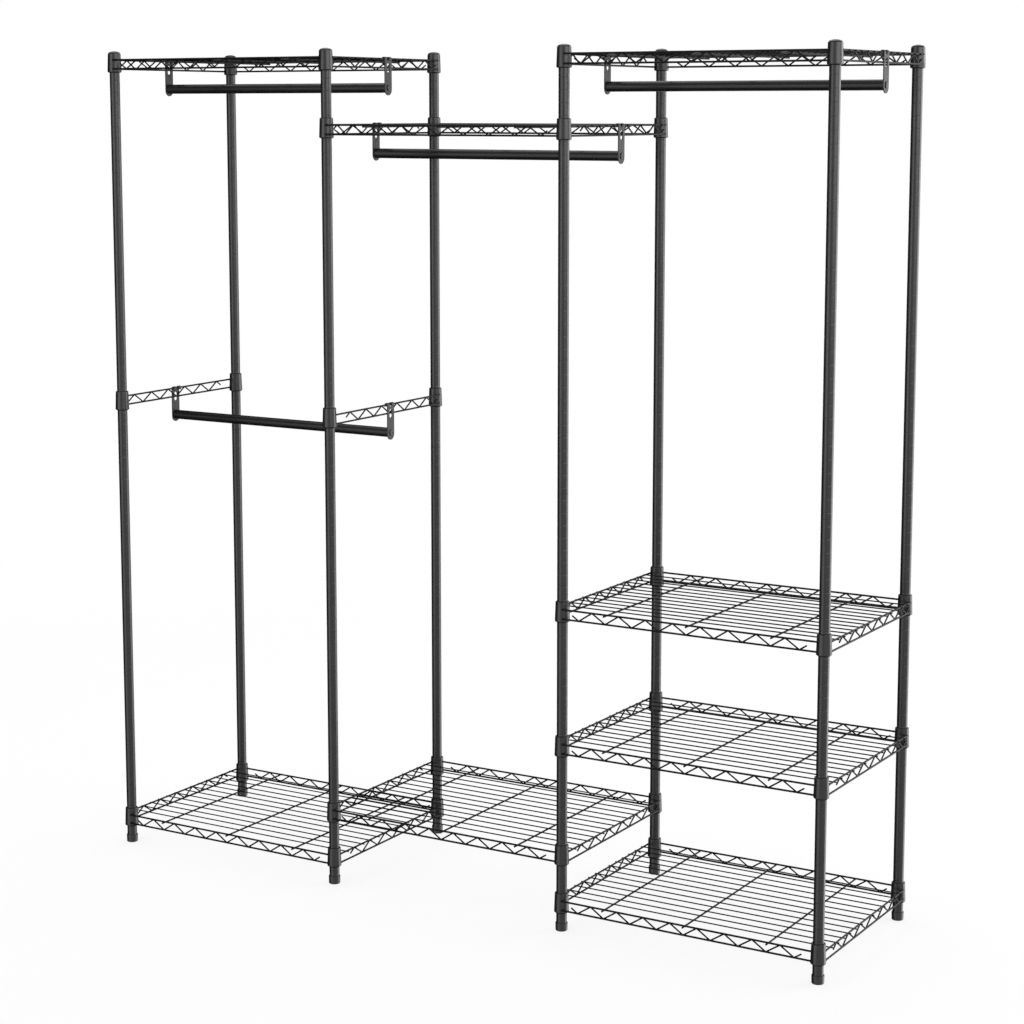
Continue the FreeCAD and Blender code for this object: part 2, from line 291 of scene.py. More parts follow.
black_plastic = coated(
    "moulded_black_plastic",
    dark=(0.01, 0.01, 0.0104),
    light=(0.016, 0.016, 0.0165),
    roughness=(0.32, 0.44),
    ripple_size=0.0007,
    ripple_height=0.00006,
    mottle_size=0.012,
    specular=0.5,
)
# The sleeves are darker than the other black plastic. This is partly their own black and partly painted shade for the
# shaded gap between post and collar, where the sleeve's top shows.
sleeve_plastic_painted_shade = coated(
    "sleeve_plastic_painted_shade",
    dark=(0.003, 0.003, 0.003),
    light=(0.005, 0.005, 0.005),
    roughness=(0.5, 0.62),
    ripple_size=0.0007,
    ripple_height=0.00006,
    mottle_size=0.012,
    specular=0.2,
)
black_screw = coated(
    "black_screw_plating",
    dark=(0.006, 0.006, 0.006),
    light=(0.014, 0.014, 0.014),
    roughness=(0.3, 0.5),
    ripple_size=0.0006,
    ripple_height=0.00005,
    mottle_size=0.004,
    specular=0.4,
)
zinc_plating = coated(
    "zinc_plated_steel",
    dark=(0.42, 0.42, 0.41),
    light=(0.56, 0.56, 0.54),
    roughness=(0.25, 0.42),
    ripple_size=0.0008,
    ripple_height=0.00004,
    mottle_size=0.006,
    specular=0.5,
    metallic=1,
)
print("finishes", sorted(material.name for material in bpy.data.materials if material.users == 0))

# %% [markdown]
# Each post is a thin steel tube in two sections that screw together. Ring grooves are rolled into it an inch apart,
# and a shelf's sleeve locks into one of them. A bump could suggest the grooves, but they also nick the outline and
# catch the light, so they are turned into the mesh: a shallow cosine dip in the outline, spun round the tube. The
# inner wall is in the same outline, which makes each section a real tube. All lower sections are copies of one mesh,
# and all upper sections of another.

# %% Grooved posts
POST_SIDES = 40
POST_WALL = 0.0012
EDGE_BREAK = 0.0003
GROOVE_PITCH = 0.0254
GROOVE_WIDTH = 0.0024
GROOVE_DEPTH = 0.0003
GROOVE_STEPS = 2
FIRST_GROOVE = 0.060
RANKS = ("front", "rear")
COLUMNS = (1, 2, 3, 4)
post_names = [f"{rank}_post_{column}" for rank in RANKS for column in COLUMNS]


def groove_points(radius, height):
    """Lists the points of one ring groove, as a cosine dip in the tube's side."""
    points = []
    for step in range(-GROOVE_STEPS, GROOVE_STEPS + 1):
        share = step / GROOVE_STEPS
        dip = GROOVE_DEPTH * (1 + math.cos(math.pi * share)) / 2
        points.append((radius - dip, height + share * GROOVE_WIDTH / 2))
    return points


def tube_section(node):
    """Turns the tube of a post's node, standing at the origin of the floor."""
    low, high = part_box(node)
    radius = (high[0] - low[0]) / 2
    bottom, top = low[2], high[2]
    outline = [(radius - EDGE_BREAK, bottom), (radius, bottom + EDGE_BREAK)]
    height = FIRST_GROOVE
    while height < top - GROOVE_WIDTH:
        if height > bottom + GROOVE_WIDTH:
            outline += groove_points(radius, height)
        height += GROOVE_PITCH
    outline += [(radius, top - EDGE_BREAK), (radius - EDGE_BREAK, top)]
    outline += [(radius - POST_WALL, top), (radius - POST_WALL, bottom)]
    bm = bmesh.new()
    turn(bm, outline, ORIGIN, POST_SIDES)
    return mesh_from(f"{node}_shape", bm)


for section in ("lower", "upper"):
    section_mesh = tube_section(f"{post_names[0]}_{section}")
    for post in post_names:
        node = f"{post}_{section}"
        stand = middle(node)
        tube = moved(section_mesh, f"{node}_tube", (stand.x, stand.y, 0))
        add_piece(f"{node}_tube", tube, [post_coat], "post", "frame", node)
    print(section, "post sections with", len(section_mesh.polygons), "faces each")

post_axes = {post: Vector((*middle(f"{post}_lower").xy, 0)) for post in post_names}

# %% [markdown]
# A low plastic dome closes the top of each post. Its rim rests on the tube, and a plug below it grips the bore. The
# outline is a formula: a circle through the crown and the rim's edge, then the rim, the seat and the plug.

# %% Post caps
CAP_RADIUS = 0.013
CAP_RIM = 0.0005
CAP_DOME = 0.0036
CAP_PLUG = 0.015
CAP_ARC_STEPS = 8
CAP_SIDES = 40


def cap_outline(plug_radius):
    """Lists a cap's outline from the crown's middle, over the rim, to the plug's end."""
    crown = CAP_DOME - CAP_RIM
    dome_radius = (CAP_RADIUS**2 + crown**2) / (2 * crown)
    edge_angle = math.asin(CAP_RADIUS / dome_radius)
    outline = []
    for step in range(CAP_ARC_STEPS + 1):
        angle = edge_angle * step / CAP_ARC_STEPS
        outline.append((dome_radius * math.sin(angle), CAP_DOME - dome_radius * (1 - math.cos(angle))))
    outline += [(CAP_RADIUS, EDGE_BREAK), (CAP_RADIUS - EDGE_BREAK, 0), (plug_radius, 0)]
    outline += [(plug_radius, -CAP_PLUG), (0, -CAP_PLUG)]
    return outline


post_low, post_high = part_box("front_post_1_upper")
bore_radius = (post_high[0] - post_low[0]) / 2 - POST_WALL
bm = bmesh.new()
for axis_place in post_axes.values():
    turn(bm, cap_outline(bore_radius), axis_place + UP * post_high[2], CAP_SIDES, closed=False)
add_piece("post_caps_domed", mesh_from("post_caps_domed", bm), [black_plastic], "cap", "frame", "post_caps")
print("caps on", len(post_axes), "posts")

# %% [markdown]
# Where a shelf meets a post, two plastic half shells clip round the post, thin at the top and thick at the foot. The
# shelf's collar slides down over them and wedges tight. Only the ends of the sleeve show, and the slit between its
# halves. A half shell is its own cross-section, made as a face and spun through almost half a turn.

# %% Split sleeves
SLEEVE_HEIGHT = 0.043
SLEEVE_MARGIN = 0.001
SLEEVE_TOP_WALL = 0.0009
SLEEVE_FOOT_WALL = 0.0023
SLEEVE_SLIT = 0.0008
SLEEVE_STEPS = 16
post_radius = (post_high[0] - post_low[0]) / 2
shelf_nodes = sorted(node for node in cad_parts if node.endswith("_shelf"))
rail_nodes = sorted(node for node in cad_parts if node.endswith("_side_rail"))


def corner_places(node):
    """Lists where a shelf's or rail's sleeves start: the posts inside its box, at its lowest height less a margin."""
    low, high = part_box(node)
    inside = [axis_place for axis_place in post_axes.values() if low[0] < axis_place.x < high[0]]
    return [axis_place + UP * (low[2] - SLEEVE_MARGIN) for axis_place in inside]


def half_shell(bm, place, first_angle):
    """Spins one half of a sleeve round the post's axis."""
    slit_angle = SLEEVE_SLIT / post_radius
    section = [
        (post_radius, EDGE_BREAK),
        (post_radius + EDGE_BREAK, 0),
        (post_radius + SLEEVE_FOOT_WALL - EDGE_BREAK, 0),
        (post_radius + SLEEVE_FOOT_WALL, EDGE_BREAK),
        (post_radius + SLEEVE_TOP_WALL, SLEEVE_HEIGHT - EDGE_BREAK),
        (post_radius + SLEEVE_TOP_WALL - EDGE_BREAK, SLEEVE_HEIGHT),
        (post_radius, SLEEVE_HEIGHT),
    ]
    facing = Matrix.Rotation(first_angle + slit_angle / 2, 3, UP)
    face = bm.faces.new([bm.verts.new(place + facing @ Vector((radius, 0, height))) for radius, height in section])
    sweep = math.pi - slit_angle
    bmesh.ops.spin(bm, geom=[face], cent=place, axis=UP, angle=sweep, steps=SLEEVE_STEPS)


bm = bmesh.new()
sleeve_places = [place for node in shelf_nodes + rail_nodes for place in corner_places(node)]
for place in sleeve_places:
    for first_angle in (0, math.pi):
        half_shell(bm, place, first_angle)
sleeve_mesh = mesh_from("split_sleeve_shells", bm)
add_piece("split_sleeve_shells", sleeve_mesh, [sleeve_plastic_painted_shade], "sleeve", "frame", "split_sleeves")
print("sleeves", len(sleeve_places))

# %% [markdown]
# A shelf is welded from drawn wire. Each side is a truss: an upper and a lower wire, and between them one thinner
# wire bent to and fro. Where the bends touch, they are spot welded. The brace could be cut from straight cylinders,
# but its rounded bends and the free tails at its ends are what the eye finds first, so it is one wire, pushed from
# bend to bend. The truss at the left starts low in front, and the one at the right is the same truss turned round.
# Each wire ends in a weld bead on a collar, here a sphere of few faces, half sunk in the joint. The solids are bare
# wire, so the brace and the deck get the thickness of the coat on top. The side wires, which carry the hook straps,
# stay as they are.

# %% Trusses of a shelf
FRAME_WIRE_RADIUS = 0.002
WIRE_COAT_THICKNESS = 0.00015
BRACE_RADIUS = 0.0015 + WIRE_COAT_THICKNESS
BRACE_PITCH = 0.060
BRACE_BEND = 0.0028
BRACE_BEND_STEPS = 4
WIRE_SIDES = 12
BRACE_SIDES = 8
LOWER_WIRE_RISE = 0.0083
TRUSS_HEIGHT = 0.0194
WIRE_OFFSET = 0.013
FRONT_WIRE_STOP = 0.006
SIDE_WIRE_STOP = 0.003
FRONT_CORNERS = 17
SIDE_CORNERS = 12
WELD_RADIUS = 0.0026
WELD_INSET = 0.0025
UPPER_WIRE_RISE = LOWER_WIRE_RISE + TRUSS_HEIGHT
half_bay = (post_axes["front_post_2"].x - post_axes["front_post_1"].x) / 2
half_depth = post_axes["rear_post_1"].y


def weld(bm, place, radius=WELD_RADIUS):
    """Adds one weld bead."""
    bmesh.ops.create_icosphere(bm, subdivisions=1, radius=radius, matrix=Matrix.Translation(place))


def truss(bm, start, end, corner_count):
    """Adds two wires, welded at their ends, and a zigzag brace that starts low and has a tail at each end."""
    run = (end - start).normalized()
    step = run * BRACE_PITCH / 2
    centre = (start + end) / 2
    low = UP * LOWER_WIRE_RISE
    high = UP * UPPER_WIRE_RISE
    for rise in (low, high):
        straight_wire(bm, start + rise, end + rise, FRAME_WIRE_RADIUS, WIRE_SIDES)
        weld(bm, start + run * WELD_INSET + rise)
        weld(bm, end - run * WELD_INSET + rise)
    corners = []
    for index in range(-1, corner_count + 1):
        corners.append(centre + step * (index - corner_count // 2) + (high if index % 2 else low))
    corners[0] = (corners[0] + corners[1]) / 2
    corners[-1] = (corners[-1] + corners[-2]) / 2
    bent_wire(bm, corners, BRACE_RADIUS, BRACE_BEND, BRACE_SIDES, BRACE_BEND_STEPS)


def side_truss(bm, x, side):
    """Adds the truss between a front and a rear post, with its brace's start at the rear on the right side."""
    reach = Vector((0, side * (half_depth - SIDE_WIRE_STOP), 0))
    truss(bm, Vector((x, 0, 0)) + reach, Vector((x, 0, 0)) - reach, SIDE_CORNERS)


print("truss height", TRUSS_HEIGHT, "brace pitch", BRACE_PITCH)

# %% [markdown]
# A collar is a short tapered tube of sheet steel, one at each corner, and the wires are welded to its outside. Its
# ends are not knife-sharp: the foot is well rounded and the top edge a little, so the outline has an arc at each. It
# could be a bevelled cone, but a spun outline keeps the bore, which wedges on the sleeve, exact.

# %% Collars
COLLAR_HEIGHT = 0.041
COLLAR_WALL = 0.0021
COLLAR_FOOT_ROLL = 0.0017
COLLAR_TOP_ROLL = 0.0008
COLLAR_ROLL_STEPS = 4
COLLAR_SIDES = 40
COLLAR_FIT = 0.00005


def collar_outline():
    """Lists the outline of a collar on its sleeve, with both outer edges rolled round."""
    slope = (SLEEVE_TOP_WALL - SLEEVE_FOOT_WALL) / SLEEVE_HEIGHT
    bottom = SLEEVE_MARGIN
    top = SLEEVE_MARGIN + COLLAR_HEIGHT
    inner = [(post_radius + SLEEVE_FOOT_WALL + slope * height + COLLAR_FIT, height) for height in (top, bottom)]
    outline = []
    for (inner_radius, height), roll in zip(reversed(inner), (COLLAR_FOOT_ROLL, -COLLAR_TOP_ROLL)):
        arc = []
        for step in range(COLLAR_ROLL_STEPS + 1):
            angle = math.pi / 2 * step / COLLAR_ROLL_STEPS
            radius = inner_radius + COLLAR_WALL - abs(roll) * (1 - math.sin(angle))
            arc.append((radius, height + roll * (1 - math.cos(angle))))
        outline += arc if roll > 0 else list(reversed(arc))
    return outline + inner


def collar(bm, place):
    """Adds a collar round a post's axis, in the second finish of its shelf."""
    wire_faces = len(bm.faces)
    turn(bm, collar_outline(), place, COLLAR_SIDES)
    for face in list(bm.faces)[wire_faces:]:
        face.material_index = 1


print("collar wall", COLLAR_WALL, "height", COLLAR_HEIGHT)

# %% [markdown]
# The deck of the shelf is thirteen thin wires from side to side, welded in level with the upper side wires, with
# three stouter ribs under them from front to back. The wires run on a little past the side wires, but for the middle
# one, where a strap can hook over, and the ribs run past the front and rear wires. One shelf is modelled about the
# middle of its bay, and the eight shelves are copies of it.

# %% Wire shelves
MAT_RADIUS = 0.00125 + WIRE_COAT_THICKNESS
MAT_PITCH = 0.030
MAT_COUNT = 13
MAT_DROP = 0.0005
MAT_OVERHANG = 0.006
MAT_SIDES = 8
RIB_RADIUS = 0.00175 + WIRE_COAT_THICKNESS
RIB_SPACING = 0.182
RIB_OVERHANG = 0.0035
RIB_SINK = 0.0004
RIB_SIDES = 10
DECK_WELD_RADIUS = 0.0016


def deck(bm, side_x, front_y):
    """Adds the mat wires, the ribs under them and the welds where they cross."""
    mat_height = UPPER_WIRE_RISE - MAT_DROP
    rib_height = mat_height - MAT_RADIUS - RIB_RADIUS + RIB_SINK
    rib_places = (-RIB_SPACING, 0, RIB_SPACING)
    for x in rib_places:
        reach = Vector((0, front_y + RIB_OVERHANG, 0))
        place = Vector((x, 0, rib_height))
        straight_wire(bm, place - reach, place + reach, RIB_RADIUS, RIB_SIDES)
    for index in range(MAT_COUNT):
        y = (index - MAT_COUNT // 2) * MAT_PITCH
        reach = Vector((side_x + (MAT_OVERHANG if y else 0), 0, 0))
        place = Vector((0, y, mat_height))
        straight_wire(bm, place - reach, place + reach, MAT_RADIUS, MAT_SIDES)
        for x in rib_places:
            weld(bm, Vector((x, y, mat_height - MAT_RADIUS)), DECK_WELD_RADIUS)


def shelf_mesh():
    """Makes one shelf about the middle of its bay, at the height where its sleeves start."""
    bm = bmesh.new()
    side_x = half_bay + WIRE_OFFSET
    front_y = half_depth + WIRE_OFFSET
    stop = Vector((half_bay - FRONT_WIRE_STOP, 0, 0))
    for side in (-1, 1):
        side_truss(bm, side * side_x, side)
        truss(bm, Vector((0, side * front_y, 0)) - stop, Vector((0, side * front_y, 0)) + stop, FRONT_CORNERS)
    deck(bm, side_x, front_y)
    for x in (-half_bay, half_bay):
        for y in (-half_depth, half_depth):
            collar(bm, Vector((x, y, 0)))
    return mesh_from("shelf_shape", bm)


one_shelf = shelf_mesh()
for node in shelf_nodes:
    low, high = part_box(node)
    place = Vector(((low[0] + high[0]) / 2, 0, low[2] - SLEEVE_MARGIN))
    shelf = moved(one_shelf, f"{node}_wires", place)
    add_piece(f"{node}_wires", shelf, [wire_coat, post_coat], "shelf", "frame", node)
print(len(shelf_nodes), "shelves with", len(one_shelf.polygons), "faces each")

# %% [markdown]
# Half way up the left bay there is no shelf, only a side rail on each pair of posts to carry a rod. A rail is the
# side truss of a shelf with two collars, so the same helpers make it. As on a shelf, the truss is on the side of the
# posts that faces away from the bay.

# %% Side rails
RAIL_SIDES = {"left_outer_side_rail": -1, "left_inner_side_rail": 1}
for node, side in RAIL_SIDES.items():
    sleeves = corner_places(node)
    bm = bmesh.new()
    side_truss(bm, side * WIRE_OFFSET, side)
    for y in (-half_depth, half_depth):
        collar(bm, Vector((0, y, 0)))
    rail = moved(mesh_from("rail_shape", bm), f"{node}_wires", Vector((sleeves[0].x, 0, sleeves[0].z)))
    add_piece(f"{node}_wires", rail, [wire_coat, post_coat], "rail", "frame", node)
print("rails", sorted(RAIL_SIDES))

# %% [markdown]
# A rod is a plain steel tube with a plug in each end. The hook straps close its ends off, so what shows is a long
# smooth cylinder, and its finish does the work. The edges are broken a little, as a tube cutter leaves them.

# %% Hanging rods
ROD_SIDES = 48
ROD_WALL = 0.0012
ROD_PLUG_LENGTH = 0.016
ROD_PLUG_FIT = 0.00005
ROD_SCREW_RADIUS = 0.003
rods = sorted(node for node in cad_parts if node.endswith("_rod"))


def rod_mesh(node):
    """Turns a rod's tube and end plugs about its own axis."""
    low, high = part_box(node)
    radius = (high[2] - low[2]) / 2
    half = (high[0] - low[0]) / 2
    bore = radius - ROD_WALL
    tube = [
        (radius, EDGE_BREAK - half),
        (radius, half - EDGE_BREAK),
        (radius - EDGE_BREAK, half),
        (bore, half),
        (bore, -half),
        (radius - EDGE_BREAK, -half),
    ]
    plug_radius = bore - ROD_PLUG_FIT
    plug = [(plug_radius, half - ROD_PLUG_LENGTH), (plug_radius, half), (ROD_SCREW_RADIUS, half)]
    plug.append((ROD_SCREW_RADIUS, half - ROD_PLUG_LENGTH))
    bm = bmesh.new()
    turn(bm, tube, ORIGIN, ROD_SIDES, ALONG)
    for way in (ALONG, -ALONG):
        turn(bm, plug, ORIGIN, ROD_SIDES, way)
    return mesh_from(f"{node}_shape", bm)


one_rod = rod_mesh(rods[0])
for node in rods:
    add_piece(f"{node}_tube", moved(one_rod, f"{node}_tube", middle(node)), [rod_coat], "rod", node, node)
print("rods", rods)

# %% [markdown]
# Two flat straps carry each rod. A strap is stamped from sheet, slotted, and bent over at the top into two prongs
# that hook on the side wire. The solid already has this shape, so a copy of its mesh is the blank: its triangles are
# merged and its flat faces joined up again, and then a narrow bevel breaks every sharp edge as tumbling does.

# %% Hook straps
STRAP_EDGE = 0.0003
STRAP_EDGE_STEPS = 2
FLAT_ANGLE = math.radians(1)
CAD_MERGE = 1e-6


def tumbled(node):
    """Gives a copy of a solid's mesh with its sharp edges broken."""
    bm = bmesh.new()
    bm.from_mesh(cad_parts[node].data)
    bmesh.ops.remove_doubles(bm, verts=bm.verts, dist=CAD_MERGE)
    bmesh.ops.dissolve_limit(bm, angle_limit=FLAT_ANGLE, verts=bm.verts, edges=bm.edges)
    sharp = [edge for edge in bm.edges if edge.is_manifold and edge.calc_face_angle() > SHARP_ANGLE]
    bmesh.ops.bevel(
        bm,
        geom=sharp,
        offset=STRAP_EDGE,
        affect="EDGES",
        segments=STRAP_EDGE_STEPS,
        profile=0.5,
        material=-1,
        clamp_overlap=True,
    )
    return mesh_from(f"{node}_straps", bm)


for rod in rods:
    node = f"{rod}_hangers"
    add_piece(f"{node}_straps", tumbled(node), [strap_coat], "hanger", rod, node)
print("straps on", len(rods), "rods")

# %% [markdown]
# A pan-head screw holds each strap to the rod's end. Its head is a turned dome, and the cross recess for the driver is
# cut into it. Modelling the recess face by face would be slow, so a Boolean modifier takes a tapered cross out of the
# dome. The modifier is applied at once, because the two helper objects must not stay in the scene.

# %% Rod screws
HEAD_RADIUS = 0.0065
HEAD_HEIGHT = 0.003
HEAD_DOME = 0.0018
HEAD_STEPS = 8
SHANK_RADIUS = 0.003
SHANK_LENGTH = 0.014
SCREW_SIDES = 40
RECESS_SPAN = 0.0066
RECESS_WIDTH = 0.0014
RECESS_DEPTH = 0.0017
RECESS_TAPER = 0.7


def screw_blank():
    """Turns a screw along X, with the crown of its head at the origin."""
    outline = []
    for step in range(HEAD_STEPS + 1):
        angle = math.pi / 2 * step / HEAD_STEPS
        outline.append((HEAD_RADIUS * math.sin(angle), HEAD_DOME * (1 - math.cos(angle))))
    outline += [(HEAD_RADIUS, HEAD_HEIGHT), (SHANK_RADIUS, HEAD_HEIGHT)]
    outline += [(SHANK_RADIUS, HEAD_HEIGHT + SHANK_LENGTH), (0, HEAD_HEIGHT + SHANK_LENGTH)]
    bm = bmesh.new()
    turn(bm, outline, ORIGIN, SCREW_SIDES, ALONG, closed=False)
    return mesh_from("screw_blank", bm)


def cross_tool():
    """Makes the two crossed wedges that a driver's recess is cut with."""
    bm = bmesh.new()
    for sizes in ((RECESS_SPAN, RECESS_WIDTH), (RECESS_WIDTH, RECESS_SPAN)):
        wing = bmesh.ops.create_cube(bm, size=1)["verts"]
        bmesh.ops.scale(bm, vec=(RECESS_DEPTH * 2, *sizes), verts=wing)
        inner = [vert for vert in wing if vert.co.x > 0]
        bmesh.ops.scale(bm, vec=(1, RECESS_TAPER, RECESS_TAPER), verts=inner)
    return mesh_from("cross_tool", bm)


def cut(blank_mesh, tool_mesh):
    """Takes one closed mesh out of another and gives the result."""
    blank = bpy.data.objects.new("blank", blank_mesh)
    tool = bpy.data.objects.new("tool", tool_mesh)
    for helper in (blank, tool):
        bpy.context.scene.collection.objects.link(helper)
    recess = blank.modifiers.new("recess", "BOOLEAN")
    recess.operation = "DIFFERENCE"
    recess.solver = "EXACT"
    recess.use_self = True
    recess.object = tool
    shape = bpy.data.meshes.new_from_object(blank.evaluated_get(bpy.context.evaluated_depsgraph_get()))
    for helper in (blank, tool):
        bpy.data.objects.remove(helper)
    return shape


one_screw = cut(screw_blank(), cross_tool())
for rod in rods:
    node = f"{rod}_screws"
    low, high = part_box(node)
    axis_place = middle(node)
    bm = bmesh.new()
    for x, facing in ((low[0], 0), (high[0], math.pi)):
        end = one_screw.copy()
        end.transform(Matrix.Translation((x, axis_place.y, axis_place.z)) @ Matrix.Rotation(facing, 4, "Z"))
        bm.from_mesh(end)
        bpy.data.meshes.remove(end)
    add_piece(f"{node}_pan_heads", mesh_from(f"{node}_pan_heads", bm), [black_screw], "rod_screw", rod, node)
print("screws with", len(one_screw.polygons), "faces each")

# %% [markdown]
# A moulded cup hides the end of each post and stands on the floor. It turns on its own screw to level the wardrobe.
# Its wall leans out a little towards the rim, so that it leaves the mould, and its foot is well rounded. Like the cap
# it is one outline, from the middle of the socket that holds the screw, over the rim, to the middle of the underside.

# %% Foot cups
CUP_BASE = 0.005
CUP_CLEARANCE = 0.0003
CUP_LEAN = 0.0004
CUP_FOOT_ROUND = 0.0018
CUP_RIM_ROUND = 0.0005
CUP_ROUND_STEPS = 5
CUP_SIDES = 48
SOCKET_DEPTH = 0.0025
SOCKET_RADIUS = 0.00405


def cup_outline(radius, height):
    """Lists a cup's outline from the socket, over the rim, to the underside."""
    bore = post_radius + CUP_CLEARANCE
    outline = [(0, CUP_BASE - SOCKET_DEPTH), (SOCKET_RADIUS, CUP_BASE - SOCKET_DEPTH), (SOCKET_RADIUS, CUP_BASE)]
    outline += [(bore, CUP_BASE), (bore, height)]
    rim = radius - CUP_RIM_ROUND
    foot = radius - CUP_LEAN - CUP_FOOT_ROUND
    for step in range(CUP_ROUND_STEPS + 1):
        angle = math.pi / 2 * step / CUP_ROUND_STEPS
        lift = height - CUP_RIM_ROUND * (1 - math.cos(angle))
        outline.append((rim + CUP_RIM_ROUND * math.sin(angle), lift))
    for step in range(CUP_ROUND_STEPS + 1):
        angle = math.pi / 2 * step / CUP_ROUND_STEPS
        lift = CUP_FOOT_ROUND * (1 - math.sin(angle))
        outline.append((foot + CUP_FOOT_ROUND * math.cos(angle), lift))
    return outline + [(0, 0)]


cup_low, cup_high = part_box("front_foot_1_cup")
bm = bmesh.new()
turn(bm, cup_outline((cup_high[0] - cup_low[0]) / 2, cup_high[2] - cup_low[2]), ORIGIN, CUP_SIDES, closed=False)
one_cup = mesh_from("cup_shape", bm)
cup_nodes = sorted(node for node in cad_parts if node.endswith("_cup"))
for node in cup_nodes:
    stand = middle(node)
    cup = moved(one_cup, f"{node}_moulded", (stand.x, stand.y, cup_low[2]))
    add_piece(f"{node}_moulded", cup, [black_plastic], "foot", node, node)
print("cups", len(cup_nodes), "with", len(one_cup.polygons), "faces each")

# %% [markdown]
# The solids inside the posts are right as they are, and only get their finish: the bushings, the studs that join the
# post sections and the foot screws, all zinc plated.

# %% Finishes on the solids that stay
kept_solids = [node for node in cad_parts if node.endswith(("_bushings", "_studs", "_screw"))]
for node in kept_solids:
    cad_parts[node].data.materials.clear()
    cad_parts[node].data.materials.append(zinc_plating)
print("finished solids", len(kept_solids))

# %% [markdown]
# The stage is a pale floor and a white surround, as in a product photograph. The world is white to the camera and in
# reflections, and a little dimmer as a source of light, so that the dark coat keeps its depth. The floor turns white
# to the camera as well, and keeps a soft shadow at the feet. In reflections it would cut short the light lines that
# run down the posts, so it is left out of them.

# %% Floor and surround
FLOOR_SIZE = 40.0
FLOOR_TONE = (0.93, 0.93, 0.93, 1)
FLOOR_CLEAR_RADIUS = 1.6
FLOOR_WHITE_RADIUS = 4.0
FLOOR_LIFT = 0.8
WORLD_LEVEL = 0.8
WHITE_LEVEL = 1.0


def flat_finish(name, colour):
    """Makes a matt stage finish."""
    material = bpy.data.materials.new(name)
    material.use_nodes = True
    shader = material.node_tree.nodes["Principled BSDF"]
    shader.inputs["Base Color"].default_value = colour
    shader.inputs["Roughness"].default_value = 1.0
    shader.inputs["Specular IOR Level"].default_value = 0.0
    return material


def background_rays(tree):
    """Gives 1 for the rays that show the background: the camera's, and those in reflections and through glass."""
    path = tree.nodes.new("ShaderNodeLightPath")
    seen = tree.nodes.new("ShaderNodeMath")
    seen.operation = "ADD"
    tree.links.new(path.outputs["Is Camera Ray"], seen.inputs[0])
    tree.links.new(path.outputs["Is Glossy Ray"], seen.inputs[1])
    shown = tree.nodes.new("ShaderNodeMath")
    shown.operation = "ADD"
    shown.use_clamp = True
    tree.links.new(seen.outputs["Value"], shown.inputs[0])
    tree.links.new(path.outputs["Is Transmission Ray"], shown.inputs[1])
    return shown.outputs["Value"]


def floor_finish():
    """Makes a pale matt floor that the camera sees turn to plain white further out."""
    material = flat_finish("pale_floor", FLOOR_TONE)
    nodes = material.node_tree.nodes
    links = material.node_tree.links
    place = nodes.new("ShaderNodeTexCoord")
    distance = nodes.new("ShaderNodeVectorMath")
    distance.operation = "LENGTH"
    links.new(place.outputs["Object"], distance.inputs[0])
    fade = nodes.new("ShaderNodeMapRange")
    fade.interpolation_type = "SMOOTHSTEP"
    fade.inputs["From Min"].default_value = FLOOR_CLEAR_RADIUS
    fade.inputs["From Max"].default_value = FLOOR_WHITE_RADIUS
    links.new(distance.outputs["Value"], fade.inputs["Value"])
    fade.inputs["To Min"].default_value = FLOOR_LIFT
    shown = nodes.new("ShaderNodeMath")
    shown.operation = "MULTIPLY"
    links.new(fade.outputs["Result"], shown.inputs[0])
    links.new(background_rays(material.node_tree), shown.inputs[1])
    white = nodes.new("ShaderNodeEmission")
    blend = nodes.new("ShaderNodeMixShader")
    links.new(shown.outputs["Value"], blend.inputs["Fac"])
    links.new(nodes["Principled BSDF"].outputs["BSDF"], blend.inputs[1])
    links.new(white.outputs["Emission"], blend.inputs[2])
    links.new(blend.outputs["Shader"], nodes["Material Output"].inputs["Surface"])
    return material


def stage_plane(name, size_x, size_y, place, finish):
    """Makes a flat stage piece."""
    bm = bmesh.new()
    bmesh.ops.create_grid(bm, x_segments=1, y_segments=1, size=0.5)
    bmesh.ops.scale(bm, vec=(size_x, size_y, 1), verts=bm.verts)
    bmesh.ops.transform(bm, matrix=place, verts=bm.verts)
    mesh = bpy.data.meshes.new(name)
    bm.to_mesh(mesh)
    bm.free()
    mesh.materials.append(finish)
    plane = bpy.data.objects.new(name, mesh)
    bpy.context.scene.collection.objects.link(plane)
    plane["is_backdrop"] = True
    return plane


def white_surround():
    """Makes the world white to the camera and in reflections, and dimmer as a source of light."""
    world = bpy.data.worlds.new("white_surround")
    bpy.context.scene.world = world
    world.use_nodes = True
    nodes = world.node_tree.nodes
    links = world.node_tree.links
    nodes.clear()
    level = nodes.new("ShaderNodeMapRange")
    level.inputs["To Min"].default_value = WORLD_LEVEL
    level.inputs["To Max"].default_value = WHITE_LEVEL
    links.new(background_rays(world.node_tree), level.inputs["Value"])
    glow = nodes.new("ShaderNodeBackground")
    glow.inputs["Color"].default_value = (1, 1, 1, 1)
    links.new(level.outputs["Result"], glow.inputs["Strength"])
    output = nodes.new("ShaderNodeOutputWorld")
    links.new(glow.outputs["Background"], output.inputs["Surface"])


floor = stage_plane("floor", FLOOR_SIZE, FLOOR_SIZE, Matrix.Identity(4), floor_finish())
floor.visible_glossy = False
white_surround()
print("floor", FLOOR_SIZE, "wide, surround as a light", WORLD_LEVEL)

# %% [markdown]
# Round tubes mirror everything about them, so their look comes from what stands round the wardrobe more than from
# the strength of the lamps. A soft box at the right draws the light line down the right of each post, one in front
# draws a fainter line, and a dark card at the left takes the light off the other side. Cards below the floor's level
# carry the lines down to the feet. A high card at the right front lightens the tops of the posts, and a dark card
# under the wardrobe keeps undersides dark. The camera sees none of the cards.

